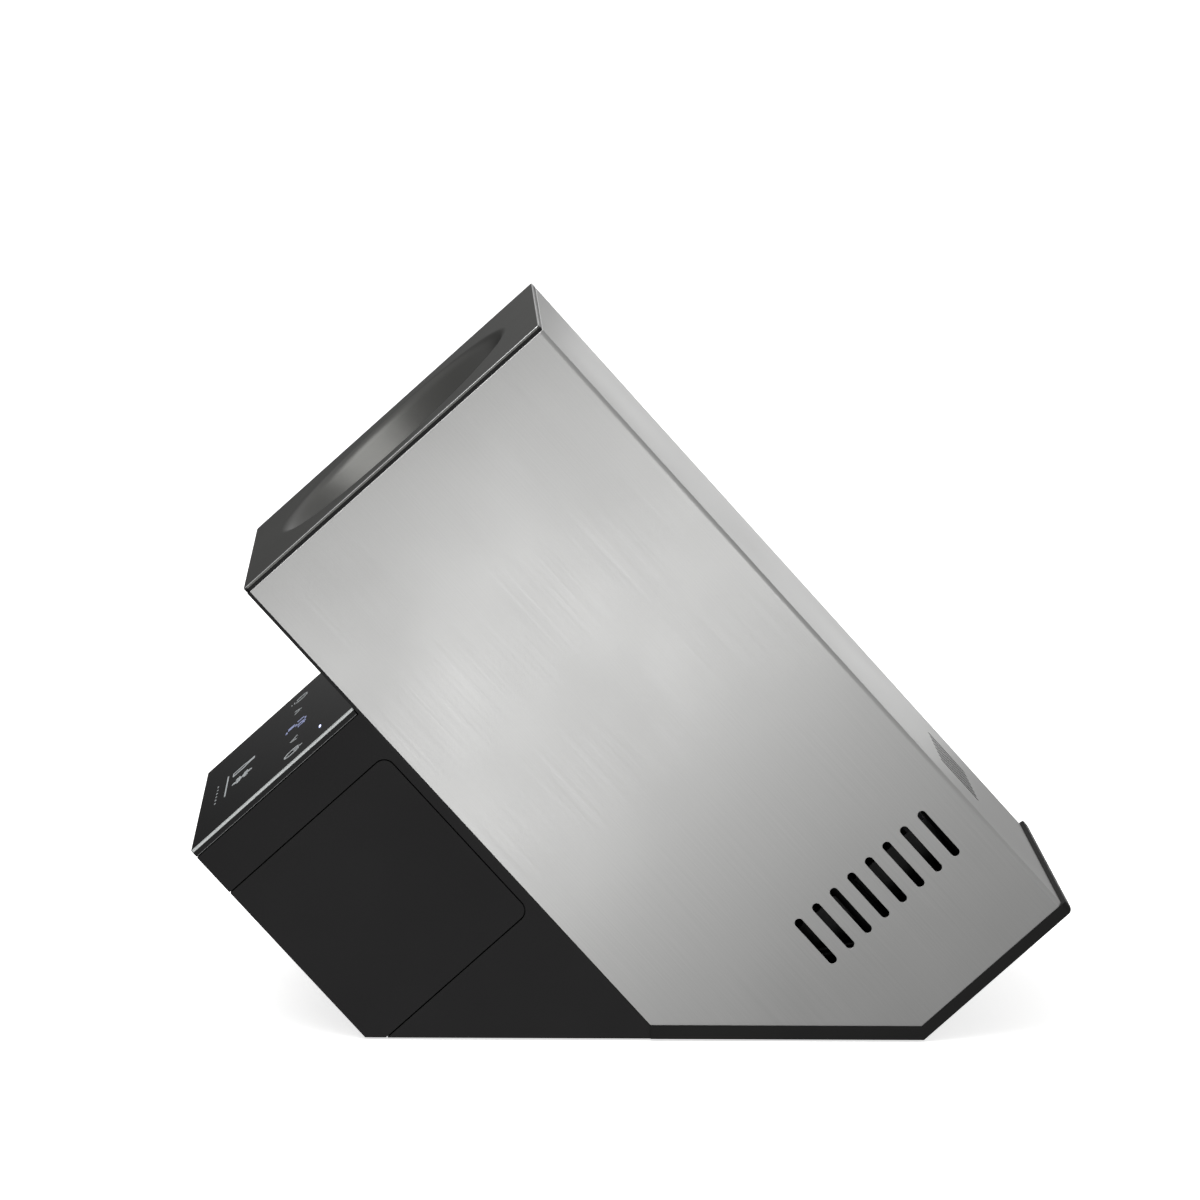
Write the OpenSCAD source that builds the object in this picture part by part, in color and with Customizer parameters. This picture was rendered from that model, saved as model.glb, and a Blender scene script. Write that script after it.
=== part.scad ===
// Thermoelectric cooler for one wine bottle: a square steel-jacketed body that leans back on a base.
// Row frame: +X across, -Y the front with the mouth and the touch panel, +Z up, origin in the middle
// of the footprint, on the table.
// Body frame: x across, y up from the jacket's lower edge, z out of the mouth. A depth is -z.

/* [Body] */
// Lean of the bottle axis from the vertical, in degrees
lean = 42.5; // [41:0.5:44]
// Width across the jacket's sides
body_w = 140; // [128:1:168]
// Height of the jacket, square to the bottle axis
body_h = 140; // [132:1:168]
// Length of the jacket along the bottle axis
body_len = 281; // [265:1:337]
// Length of the jacket's lower edge that the table line cuts off at the rear
rear_cut = 58.56; // [50:0.02:68]
// Thickness of the steel sheet
steel_t = 0.8; // [0.6:0.1:1.2]
// Outer radius of the bends along the top
bend_r = 1.8; // [1.4:0.1:3]

/* [Mouth] */
// Thickness of the bezel's face plate
plate_t = 0.9; // [0.7:0.1:1.4]
// Visible height of the black frame between bezel and jacket
frame_t = 1.3; // [0.9:0.1:2]
// How far the mouth flares out beyond the chamber's radius
flare = 10; // [6:0.5:12]
// Radius of the roll from the face into the funnel
roll_r = 6; // [3:0.5:8]
// Slope of the funnel from the face, in degrees
funnel_slope = 60; // [45:5:75]
// Corner radius of bezel and frame, seen from the front
corner_r = 1.5; // [0.5:0.1:2.5]

/* [Chamber] */
// Inner radius of the bottle chamber
chamber_r = 46; // [40:0.5:56]
// Length of the bay between the chamber's floor and the jacket's rear edge
bay_len = 96; // [92:1:116]
// Wall of the aluminium liner
liner_t = 1.2; // [0.8:0.1:2]
// Thickness of the liner's floor
liner_floor_t = 2; // [1.5:0.5:3]
// Thickness of the rubber pad under the bottle
pad_t = 3; // [2:0.5:5]

/* [Vents] */
// End-to-end length of a vent slot
slot_len = 21.5; // [16:0.5:26]
// Width of a vent slot
slot_w = 3.3; // [2.5:0.1:3.8]
// Slots in each side row and in the top row
slots = 8; // [5:1:9]
// Distance between the side slots
side_pitch = 8.45; // [6.5:0.05:10]
// Height of the middle of the side row above the jacket's lower edge
side_row_y = 94.5; // [85:0.5:100]
// Distance between the top slots
top_pitch = 7.2; // [6:0.1:10]
// Distance from the middle of the slots to the jacket's rear edge
slot_from_rear = 49.6; // [40:0.1:60]

/* [Cooling unit] */
// Side of the cold block, which is square
block_size = 56; // [52:1:62]
// Thickness of the cold block
block_t = 12; // [8:1:14]
// Side of the thermoelectric module
module_size = 40; // [30:1:40]
// Thickness of the thermoelectric module
module_t = 3.8; // [3.2:0.1:4.8]
// Side of the heat sink's base
sink_size = 84; // [80:1:96]
// Thickness of the heat sink's base
sink_base_t = 5; // [3:0.5:6]
// Height of the heat sink's fins
fin_h = 22; // [16:1:26]
// Thickness of a fin
fin_t = 1.4; // [1:0.1:2]
// Number of fins
fins = 13; // [9:2:15]
// Height of the heat sink's middle above the bottle axis
unit_rise = 10; // [8:1:14]
// Side of the fan's frame
fan_size = 80; // [70:1:84]
// Thickness of the fan
fan_t = 15; // [15:1:20]
// Blades on the fan's rotor
blades = 7; // [5:2:11]
// Radius of the fan's shaft
shaft_r = 1.5; // [1:0.1:2]

/* [Base] */
// Depth of the base below the jacket, square to the bottle axis
base_depth = 79.5; // [76:0.5:95]
// Distance from the mouth's lower edge to the touch panel, along the jacket
panel_drop = 55.5; // [50:0.5:66]
// Wall of the base housing and the service cover
wall = 2.5; // [2:0.1:3]
// Visible edge of the panel that closes the jacket below
belly_edge = 1.2; // [0.8:0.1:2]
// Height of the black foot below the jacket's rear part
foot_h = 5; // [4:0.5:7]
// How far the rubber feet stand out of the base
feet_proud = 0.8; // [0.5:0.1:1.5]

/* [Rear cap] */
// Thickness of the rear cap at its rim
cap_t = 4.3; // [3.5:0.1:6]
// How far the cap stands above the jacket's top
cap_top_lip = 1.8; // [0:0.1:3]
// How far cap and foot stand out of the jacket's sides
cap_side_lip = 0.6; // [0:0.1:1.5]
// Corner radius of the cap
cap_r = 2.2; // [1:0.1:4]

/* [Service cover] */
// Distance from the touch panel to the cover's upper seam
cover_drop = 20.5; // [16:0.5:26]
// Distance from the base's toe to the cover's lower seam, along the jacket
cover_wrap = 5.493; // [4:0.001:7]
// Distance from the jacket to the cover's side seam
cover_gap_y = 4; // [3.8:0.1:8]
// Radius of the seam's corners
cover_r = 4.5; // [2:0.5:8]
// Width of the seam
seam = 0.45; // [0.3:0.05:0.8]

/* [Touch panel] */
// Thickness of the glass
glass_t = 1.1; // [0.8:0.1:2]
// Visible height of the frame below the glass
panel_band = 1.9; // [1.5:0.1:3]
// Shadow gap between frame and housing
shadow_gap = 0.4; // [0.2:0.1:0.8]
// Distance of the outer touch keys from the middle
outer_key_x = 51; // [46:1:54]
// Distance of the inner touch keys from the middle
inner_key_x = 28; // [24:1:34]
// Distance of the keys from the jacket
key_y = 31; // [28:1:36]

/* [Hidden] */
$fn = 64;
BIG = 600;                     // larger than the whole object, for cutting blocks
EPS = 0.05;                    // overlap that merges pieces of one solid
fit = 0.2;                     // clearance of plastic parts that slip into each other
foam_fit = 0.4;                // clearance round the foam
running = 0.05;                // radial clearance of the fan's shaft in its bearing
skirt_t = 2;                   // wall of the skirts that locate frame and cap in the jacket
skirt_h = 8;                   // how far those skirts reach into the jacket
belly_t = 2;                   // belly panel inside the jacket
floor_t = 2.5;                 // floor of the base housing
liner_flange = 5;              // width of the liner's flange
sink_gap = 0.2;                // thin gap that thermal paste or foam takes up
screw_r = 1.5;                 // radius of the M3 screws
screw_hole_r = 1.6;            // and of the holes for them
head_r = 2.8;                  // radius of the screw heads
head_h = 1.8;                  // height of the screw heads
block_screw = block_size / 2 - 4;          // screws that clamp the heat sink to the cold block
fan_hole = fan_size / 2 - 4.25;            // fixing holes of the fan
hub_r = 15.5;                  // hub of the fan's rotor
hub_wall = 1.6;                // wall of that hub
blade_gap = 1.2;               // gap between the blade tips and the fan's frame
post_r = 4.5;                  // posts that the rear cap is screwed to
post_margin = 12;              // distance of the posts from the jacket
jack_y = 14;                   // distance of the inlet from the jacket's top
jack_r = 5.6;                  // barrel of the power inlet
plug_r = 3.2;                  // bore of the power inlet
feet_r = 6.5;                  // radius of the rubber feet
feet_inset = 14;               // distance of the feet from the sides
feet_sunk = 1;                 // how deep the feet sit in their recesses

axis_y = body_h / 2;                                   // bottle axis above the jacket's lower edge
unit_y = axis_y + unit_rise;                           // middle of heat sink and fan
mouth_r = chamber_r + flare;
floor_d = body_len - bay_len;                          // chamber floor
flange_d = 12;                                         // front of the liner's flange
block_d = floor_d + liner_floor_t + sink_gap;          // front of the cold block
module_d = block_d + block_t;
sink_d = module_d + module_t;
fan_d = sink_d + sink_base_t + fin_h + sink_gap;
fan_bore_r = fan_size / 2 - 1.8;
foam_end_d = module_d - 1;
bay_wall_t = sink_d - foam_end_d - 2 * sink_gap;       // bulkhead between foam and heat sink

glass_d = panel_drop;
band_d = glass_d + glass_t;
housing_d = band_d + panel_band + shadow_gap;          // upper edge of the base housing
cover_d0 = panel_drop + cover_drop;

// Where a point of the body frame lies in the row frame, and the reverse for a given row height
lip_height = (body_len - rear_cut) * cos(lean);        // mouth's lower edge above the table
rear_reach = (body_h + cap_top_lip - cap_r) * cos(lean) + (body_len + cap_t - cap_r) * sin(lean) + cap_r;
front_reach = panel_drop * sin(lean) - base_depth * cos(lean);
lip_y = -(rear_reach + front_reach) / 2;
function yz(y, d) = [lip_y + y * cos(lean) + d * sin(lean), lip_height + y * sin(lean) - d * cos(lean)];
function depth_at(y, height) = (lip_height + y * sin(lean) - height) / cos(lean);
function y_at(d, height) = (height - lip_height + d * cos(lean)) / sin(lean);

foot_top = feet_proud + foot_h;
joint_y = yz(0, depth_at(0, foot_top))[0];             // where housing and foot meet
cap_foot = yz(y_at(body_len, foot_top), body_len);     // inner corner of cap and foot
post_low_y = y_at(body_len, foot_top) + post_margin;
front_toe_y = yz(-base_depth, depth_at(-base_depth, feet_proud))[0];
cover_d1 = depth_at(-base_depth, feet_proud) + cover_wrap;
// Where the cover's lower seam meets the underside: feet and screw tabs stand behind it
cover_edge_y = yz(y_at(cover_d1, feet_proud), cover_d1)[0];
feet_front_y = max(front_toe_y + 18, cover_edge_y + feet_r + 2.5);
feet_rear_y = cap_foot[0] - 18;

port_d = depth_at(0, foot_top) - 10;                   // cable port through the belly panel
board_w = 84;
board_d0 = port_d - 111.673;                           // the leads from board to port keep their length
board_d1 = board_d0 + 88;
board_t = 1.6;
board_y = -belly_edge - 8;                             // component-free side of the main board
touch_w = 2 * outer_key_x + 14;
touch_y0 = -base_depth + 12;
touch_y1 = -14;
touch_d = band_d + 6;                                  // front of the touch board

// ---------- frames and shapes that repeat ----------

module in_body() translate([0, lip_y, lip_height]) rotate([lean, 0, 0]) children();

// Block in the body frame: width, height range, depth range, offset across
module block(w, y0, y1, d0, d1, x = 0) translate([x - w / 2, y0, -d1]) cube([w, y1 - y0, d1 - d0]);

// Round rod along the bottle axis
module rod(r, d0, d1, x = 0, y = 0) translate([x, y, -d1]) cylinder(r = r, h = d1 - d0);

// Round rod square to the jacket, from y0 to y1
module stud(r, y0, y1, x, d) translate([x, y0, -d]) rotate([-90, 0, 0]) cylinder(r = r, h = y1 - y0);

// Outline in the side view, [y, z], extruded across the width
module across(w) rotate([90, 0, 90]) linear_extrude(w, center = true) children();

module above_table(h) translate([-BIG / 2, -BIG / 2, h]) cube(BIG);

// Rectangle with its two upper corners rounded
module arch(w, y0, y1, r) {
    translate([-w / 2, y0]) square([w, y1 - y0 - r]);
    translate([-w / 2 + r, y1 - 2 * r]) square([w - 2 * r, 2 * r]);
    for (side = [-1, 1]) translate([side * (w / 2 - r), y1 - r]) circle(r);
}

// Rectangle with four rounded corners
module rounded(w, y0, y1, r) {
    translate([-w / 2, y0 + r]) square([w, y1 - y0 - 2 * r]);
    translate([-w / 2 + r, y0]) square([w - 2 * r, y1 - y0]);
    for (side = [-1, 1], y = [y0 + r, y1 - r]) translate([side * (w / 2 - r), y]) circle(r);
}

// Slot with round ends, its length along z, cut along x
module slot_cut(length, w, t) across(t) {
    square([w, length - w], center = true);
    for (end = [-1, 1]) translate([0, end * (length - w) / 2]) circle(w / 2);
}

// Screw along the bottle axis, its head at depth d, its point towards the mouth
module screw(x, y, d, length, r = screw_r) {
    difference() {
        rod(head_r, d, d + head_h, x, y);
        block(0.8, y - 1.7, y + 1.7, d + head_h - 1, d + head_h + 1, x);
        block(3.4, y - 0.4, y + 0.4, d + head_h - 1, d + head_h + 1, x);
    }
    rod(r, d - length, d + EPS, x, y);
}

// Wire through a list of points: eight-sided lengths that run on into each other at the corners
module wire(points, d) for (i = [1 : len(points) - 1]) {
    step = points[i] - points[i - 1];
    translate(points[i - 1]) rotate([0, acos(step[2] / norm(step)), atan2(step[1], step[0])])
        translate([0, 0, -0.35 * d]) cylinder(d = d, h = norm(step) + 0.7 * d, $fn = 8);
}

// ---------- jacket and mouth ----------

module steel_jacket() color("#b9bab8") difference() {
    intersection() {
        in_body() translate([0, 0, -body_len]) linear_extrude(body_len) difference() {
            arch(body_w, 0, body_h, bend_r);
            arch(body_w - 2 * steel_t, -1, body_h - steel_t, bend_r - steel_t);
        }
        above_table(foot_top);
    }
    in_body() translate([0, 0, slot_from_rear - body_len]) for (i = [0 : slots - 1]) {
        place = i - (slots - 1) / 2;
        translate([0, side_row_y + place * side_pitch, 0]) slot_cut(slot_len, slot_w, body_w + 10);
        translate([place * top_pitch, body_h, 0]) rotate([0, 0, 90]) slot_cut(slot_len, slot_w, 10);
    }
}

face_z = frame_t + plate_t;                    // face of the mouth bezel in front of the jacket
roll_end = [mouth_r - roll_r * sin(funnel_slope), face_z - roll_r * (1 - cos(funnel_slope))];
funnel_end_z = roll_end[1] - (roll_end[0] - chamber_r) * tan(funnel_slope);
funnel_t = 1.6;

module mouth_bezel() color("#5b5b59") in_body() {
    difference() {
        translate([0, 0, frame_t]) linear_extrude(plate_t)
            rounded(body_w, -belly_edge, body_h, corner_r);
        translate([0, axis_y, 0]) cylinder(r = mouth_r, h = BIG, center = true);
    }
    translate([0, axis_y, 0]) rotate_extrude($fn = 96) polygon(concat(
        [for (a = [0 : 10 : funnel_slope]) [mouth_r - roll_r * sin(a), face_z - roll_r * (1 - cos(a))]],
        [[chamber_r, funnel_end_z], [chamber_r + funnel_t, funnel_end_z],
         [roll_end[0] + funnel_t, roll_end[1] - plate_t], [mouth_r + EPS, frame_t], [mouth_r + EPS, face_z]]
    ));
}

module front_frame() color("#1c1c1d") in_body() difference() {
    union() {
        linear_extrude(frame_t) rounded(body_w, -belly_edge, body_h, corner_r);
        translate([0, 0, -skirt_h]) linear_extrude(skirt_h + EPS) difference() {
            arch(body_w - 2 * (steel_t + fit), belly_t + fit, body_h - steel_t - fit, bend_r);
            arch(body_w - 2 * (steel_t + fit + skirt_t), belly_t + fit + skirt_t,
                body_h - steel_t - fit - skirt_t, 1);
        }
    }
    rod(mouth_r + funnel_t, -frame_t - 1, skirt_h + 1, 0, axis_y);
}

module belly_panel() color("#1a1a1b") difference() {
    intersection() {
        in_body() {
            block(body_w, -belly_edge, 0, 0, BIG / 2);
            block(body_w - 2 * (steel_t + fit), -belly_edge, belly_t, 0, BIG / 2);
            for (x = [-1, 1], d = [board_d0 + 6, board_d1 - 6])
                stud(3.5, board_y, 0, x * (board_w / 2 - 6), d);
        }
        translate([-BIG / 2, joint_y - BIG, foot_top - 3]) cube(BIG);
    }
    in_body() {
        block(26, -BIG, BIG, port_d - 7, port_d + 4);
        for (x = [-1, 1], d = [board_d0 + 6, board_d1 - 6])
            stud(screw_hole_r, board_y - 1, -belly_edge, x * (board_w / 2 - 6), d);
        for (x = [-1, 1], d = housing_tab_d)
            stud(screw_hole_r, -belly_edge - 1, belly_t + 1, x * housing_tab_x, d);
    }
}

// ---------- bottle chamber ----------

pad_r = chamber_r - 2;                         // the liner's step holds the pad round its edge

module chamber_liner() color("#3a3b3d") in_body() translate([0, axis_y, 0]) rotate_extrude($fn = 96) polygon([
    [0, -floor_d - liner_floor_t], [chamber_r + liner_t, -floor_d - liner_floor_t],
    [chamber_r + liner_t, -flange_d - liner_t], [chamber_r + liner_t + liner_flange, -flange_d - liner_t],
    [chamber_r + liner_t + liner_flange, -flange_d], [chamber_r, -flange_d],
    [chamber_r, pad_t - floor_d], [pad_r + fit / 2, pad_t - floor_d],
    [pad_r + fit / 2, -floor_d], [0, -floor_d]
]);

module bottle_pad() color("#202122") in_body() difference() {
    rod(pad_r, floor_d - pad_t, floor_d, 0, axis_y);
    for (r = [0.25, 0.5, 0.75] * pad_r) difference() {
        rod(r + 2.5, floor_d - pad_t - 1, floor_d - pad_t + 1.2, 0, axis_y);
        rod(r, floor_d - pad_t - 2, floor_d - pad_t + 2, 0, axis_y);
    }
}

// One half of the foam round the chamber, from height y0 to y1
module foam_half(y0, y1) in_body() difference() {
    block(body_w - 2 * (steel_t + foam_fit), y0, y1, flange_d + liner_t + fit, foam_end_d);
    rod(chamber_r + liner_t + foam_fit, 0, floor_d + liner_floor_t + sink_gap / 2, 0, axis_y);
    block(block_size + 2 * foam_fit, axis_y - block_size / 2 - foam_fit,
        axis_y + block_size / 2 + foam_fit, floor_d, foam_end_d + 1);
    stud(3.6, axis_y, body_h, 0, sensor_d);
}

module insulation_lower() color("#e9e7e0") foam_half(belly_t + foam_fit, axis_y - fit / 2);
module insulation_upper() color("#e9e7e0") foam_half(axis_y + fit / 2, body_h - steel_t - foam_fit);

sensor_d = floor_d - 40;
sensor_y = axis_y + chamber_r + liner_t + 0.4;

module temp_sensor() color("#2d2d2d") in_body() {
    stud(3, sensor_y, sensor_y + 5, 0, sensor_d);
    stud(1.2, sensor_y + 5 - EPS, body_h - steel_t - 1, 0, sensor_d);
}

// ---------- cooling unit ----------

module cold_block() color("#c7c9cb") in_body() difference() {
    block(block_size, axis_y - block_size / 2, axis_y + block_size / 2, block_d, module_d - 0.02);
    for (x = [-1, 1], y = [-1, 1])
        rod(screw_hole_r, module_d - 9, BIG / 2, x * block_screw, axis_y + y * block_screw);
}

module peltier_module() color("#e8e8e4") in_body() {
    half = module_size / 2;
    plate = 0.8;
    pitch = module_size / 8;
    block(module_size, axis_y - half, axis_y + half, module_d, module_d + plate);
    block(module_size, axis_y - half, axis_y + half, sink_d - plate - 0.02, sink_d - 0.02);
    for (i = [0 : 7], j = [0 : 7]) block(2, axis_y - half + (j + 0.5) * pitch - 1,
        axis_y - half + (j + 0.5) * pitch + 1, module_d + plate - EPS, sink_d - plate,
        -half + (i + 0.5) * pitch);
}

module module_gasket() color("#26282b") in_body() difference() {
    block(block_size, axis_y - block_size / 2, axis_y + block_size / 2, module_d + fit, sink_d - fit);
    block(module_size + 1, axis_y - module_size / 2 - 0.5, axis_y + module_size / 2 + 0.5, 0, BIG);
    for (x = [-1, 1], y = [-1, 1])
        rod(screw_hole_r + fit, 0, BIG, x * block_screw, axis_y + y * block_screw);
    block(8, axis_y - block_size / 2 - 1, axis_y - module_size / 2, 0, BIG);
}

module heat_sink() color("#a9abad") in_body() difference() {
    pitch = (sink_size - fin_t) / (fins - 1);
    base_end = sink_d + sink_base_t;
    union() {
        block(sink_size, unit_y - sink_size / 2, unit_y + sink_size / 2, sink_d, base_end);
        for (i = [0 : fins - 1]) {
            y = unit_y - sink_size / 2 + i * pitch;
            block(sink_size, y, y + fin_t, base_end - EPS, base_end + fin_h);
        }
    }
    for (x = [-1, 1], y = [-1, 1]) {
        rod(screw_hole_r, 0, BIG, x * block_screw, axis_y + y * block_screw);
        rod(head_r + 1, base_end, BIG, x * block_screw, axis_y + y * block_screw);
        rod(2.1, base_end + fin_h - 9, BIG, x * fan_hole, unit_y + y * fan_hole);
    }
}

module sink_screws() color("#8f9193") in_body() for (x = [-1, 1], y = [-1, 1])
    screw(x * block_screw, axis_y + y * block_screw, sink_d + sink_base_t, 16);

module bay_frame() color("#232325") intersection() {
    in_body() difference() {
        union() {
            block(body_w - 2 * (steel_t + foam_fit), belly_t + foam_fit, body_h - steel_t - foam_fit,
                foam_end_d + sink_gap, foam_end_d + sink_gap + bay_wall_t);
            for (x = [-1, 1], y = [post_low_y, body_h - post_margin])
                rod(post_r, foam_end_d + sink_gap, body_len - fit, x * (body_w / 2 - post_margin), y);
        }
        block(block_size + 2, axis_y - block_size / 2 - 1, axis_y + block_size / 2 + 1, 0, BIG);
        for (x = [-1, 1], y = [post_low_y, body_h - post_margin])
            rod(screw_hole_r, body_len - 14, BIG, x * (body_w / 2 - post_margin), y);
        block(30, -BIG, 14, 0, BIG);
        block(8, -BIG, axis_y, 0, BIG);
    }
    above_table(foot_top + 1);
}

hub_d = fan_d + 2;                              // front of the rotor's hub
strut_d = fan_d + fan_t - 2;                    // front of the struts that carry the motor
bearing_r = 3.5;
blade_t = 1.5;

module fan_frame() color("#1b1b1c") in_body() difference() {
    union() {
        translate([0, unit_y, -fan_end_d]) linear_extrude(fan_t) difference() {
            rounded(fan_size, -fan_size / 2, fan_size / 2, 4);
            circle(fan_bore_r);
        }
        for (a = [45, 135]) translate([0, unit_y, -fan_end_d + 1.1]) rotate(a)
            cube([2 * fan_bore_r + 3, 3, 1.8], center = true);
        rod(hub_r - 1, strut_d, fan_end_d, 0, unit_y);
        rod(bearing_r + 1.2, hub_d + 4, strut_d + 1, 0, unit_y);
    }
    for (x = [-1, 1], y = [-1, 1]) rod(2.15, 0, BIG, x * fan_hole, unit_y + y * fan_hole);
    rod(bearing_r, 0, strut_d + 1, 0, unit_y);
}

module fan_bearing() color("#b08d4a") in_body() difference() {
    rod(bearing_r - 0.01, hub_d + 4, strut_d + 1, 0, unit_y);
    rod(shaft_r + running, 0, BIG, 0, unit_y);
}

module fan_stator() color("#a5673a") in_body() difference() {
    union() {
        rod(7, hub_d + 4.5, strut_d - 0.3, 0, unit_y);
        for (a = [0 : 90 : 270]) translate([0, unit_y, -strut_d + 1.5]) rotate(a)
            translate([5, -3.5, 0]) cube([6, 7, 5]);
    }
    rod(bearing_r + 1.25, 0, BIG, 0, unit_y);
}

module fan_rotor() color("#151516") in_body() translate([0, unit_y, 0]) {
    tip_r = fan_bore_r - blade_gap;
    hub_h = strut_d - hub_d - 0.8;
    difference() {
        rod(hub_r, hub_d, hub_d + hub_h);
        rod(hub_r - hub_wall, hub_d + hub_wall, BIG);
        rod(shaft_r + 0.01, 0, BIG);
    }
    difference() {
        rod(shaft_r + 1.5, hub_d + hub_wall - EPS, hub_d + 3.6);
        rod(shaft_r + 0.01, 0, BIG);
    }
    intersection() {
        difference() {
            rod(tip_r, hub_d + 0.4, hub_d + hub_h - 0.4);
            rod(hub_r - 0.5, 0, BIG);
        }
        for (i = [0 : blades - 1]) rotate(i * 360 / blades)
            translate([hub_r - 1, 0, -hub_d - hub_h / 2]) rotate([38, 0, 0])
                translate([0, -BIG / 20, -blade_t / 2]) cube([tip_r, BIG / 10, blade_t]);
    }
}

module fan_shaft() color("#d0d2d4") in_body() rod(shaft_r, hub_d + 0.4, strut_d + 0.6, 0, unit_y);

module fan_screws() color("#2b2b2b") in_body() for (x = [-1, 1], y = [-1, 1])
    screw(x * fan_hole, unit_y + y * fan_hole, fan_d + fan_t, fan_t + 7, 2);

// ---------- rear cap with its foot ----------

cap_top = body_h + cap_top_lip;
cap_d = body_len + cap_t;
cap_w = body_w + 2 * cap_side_lip;
cap_wall = 2.4;
grille_len = 26;
grille_y = (post_low_y + body_h - jack_y - 8) / 2;

module cap_outline() polygon(concat(
    [[joint_y, feet_proud], yz(y_at(cap_d, feet_proud), cap_d)],
    [for (a = [0 : 15 : 90]) yz(cap_top - cap_r + cap_r * sin(a), cap_d - cap_r + cap_r * cos(a))],
    [yz(cap_top, body_len), cap_foot, [joint_y, foot_top]]
));

module rear_cap() color("#19191a") difference() {
    union() {
        intersection() {
            across(cap_w) cap_outline();
            in_body() translate([0, 0, -cap_d - 1]) linear_extrude(BIG)
                arch(cap_w, -BIG / 2, cap_top, cap_r);
        }
        intersection() {
            in_body() translate([0, 0, -body_len - EPS]) linear_extrude(skirt_h) difference() {
                arch(body_w - 2 * (steel_t + fit), -BIG / 2, body_h - steel_t - fit, bend_r);
                arch(body_w - 2 * (steel_t + fit + skirt_t), -BIG / 2 - 1,
                    body_h - steel_t - fit - skirt_t, 1);
            }
            above_table(foot_top - EPS);
        }
    }
    in_body() {
        block(body_w - 2 * 5, y_at(body_len, foot_top) + 5, body_h - 5, body_len - 0.2, cap_d - cap_wall);
        for (x = [-1, 1], y = [post_low_y, body_h - post_margin]) {
            rod(screw_hole_r + fit, 0, BIG, x * (body_w / 2 - post_margin), y);
            rod(head_r + 0.5, cap_d - 1.2, BIG, x * (body_w / 2 - post_margin), y);
        }
        rod(jack_r + 0.05, 0, BIG, 0, body_h - jack_y);
        for (i = [0 : slots - 1]) translate([(i - (slots - 1) / 2) * top_pitch, grille_y, -cap_d])
            rotate([0, -90, -90]) slot_cut(grille_len, slot_w, 20);
    }
    translate([-body_w / 2 + 5, joint_y + 5, feet_proud + floor_t])
        cube([body_w - 10, cap_foot[0] - joint_y - 15, BIG / 2]);
    foot_recesses(feet_rear_y);
}

module rear_cap_screws() color("#2b2b2b") in_body()
    for (x = [-1, 1], y = [post_low_y, body_h - post_margin])
        screw(x * (body_w / 2 - post_margin), y, cap_d - 1.2, 14);

module dc_inlet() color("#141414") in_body() {
    y = body_h - jack_y;
    difference() {
        union() {
            rod(jack_r, body_len - 9, cap_d, 0, y);
            rod(jack_r + 1.6, cap_d, cap_d + 1, 0, y);
            rod(jack_r + 1.6, cap_d - cap_wall - 2.2, cap_d - cap_wall - 0.1, 0, y);
        }
        rod(plug_r, cap_d - 9, BIG, 0, y);
    }
    rod(1, cap_d - 9.5, cap_d - 1, 0, y);
    for (x = [-2.5, 2.5]) block(0.8, y - 1.5, y + 1.5, body_len - 14, body_len - 9 + EPS, x);
}

// ---------- base housing and service cover ----------

housing_tab_d = [housing_d + 14, cover_d1 + 14];       // screw tabs inside the housing's side walls
housing_tab_x = body_w / 2 - wall - 5;
tab_t = 2.5;

// Side view of the housing, drawn in by a margin from the front wall and the floor
module housing_outline(inset_y, inset_z, inset_rear) polygon([
    yz(-belly_edge, housing_d - (inset_y > 0 ? 5 : 0)),
    yz(-base_depth + inset_y, housing_d - (inset_y > 0 ? 5 : 0)),
    yz(-base_depth + inset_y, depth_at(-base_depth + inset_y, feet_proud + inset_z)),
    [joint_y - inset_rear, feet_proud + inset_z],
    [joint_y - inset_rear, yz(-belly_edge, belly_depth(joint_y - inset_rear))[1]]
]);
function belly_depth(row_y) = (row_y - lip_y + belly_edge * cos(lean)) / sin(lean);

// Side view of the service cover in the body frame, grown by a margin
module cover_outline(grow) {
    r = cover_r + grow;
    y1 = -cover_gap_y + grow;
    z0 = -cover_d1 - grow;
    z1 = -cover_d0 + grow;
    translate([-BIG / 2, z0]) square([BIG / 2 + y1 - r, z1 - z0]);
    translate([-BIG / 2, z0 + r]) square([BIG / 2 + y1, z1 - z0 - 2 * r]);
    for (z = [z0 + r, z1 - r]) translate([y1 - r, z]) circle(r);
}

module housing_shell() difference() {
    across(body_w) housing_outline(0, 0, 0);
    across(body_w - 2 * wall) housing_outline(wall, floor_t, wall);
}

// Lip behind the seam: joined to the housing outside the seam, clear of the cover inside it
lip_t = 1.5;
lip_w = 3;
lip_gap = 0.15;
module lip_band(inset, outer, inner) intersection() {
    across(body_w - 2 * (wall + inset)) housing_outline(wall + inset, floor_t + inset, wall);
    in_body() across(BIG) difference() {
        cover_outline(outer);
        cover_outline(inner);
    }
}
module seam_lip() difference() {
    union() {
        lip_band(-EPS, lip_w, 0);
        lip_band(lip_gap, EPS, -lip_w);
    }
    across(body_w - 2 * (wall + lip_t)) housing_outline(wall + lip_t, floor_t + lip_t, 0);
}

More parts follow.
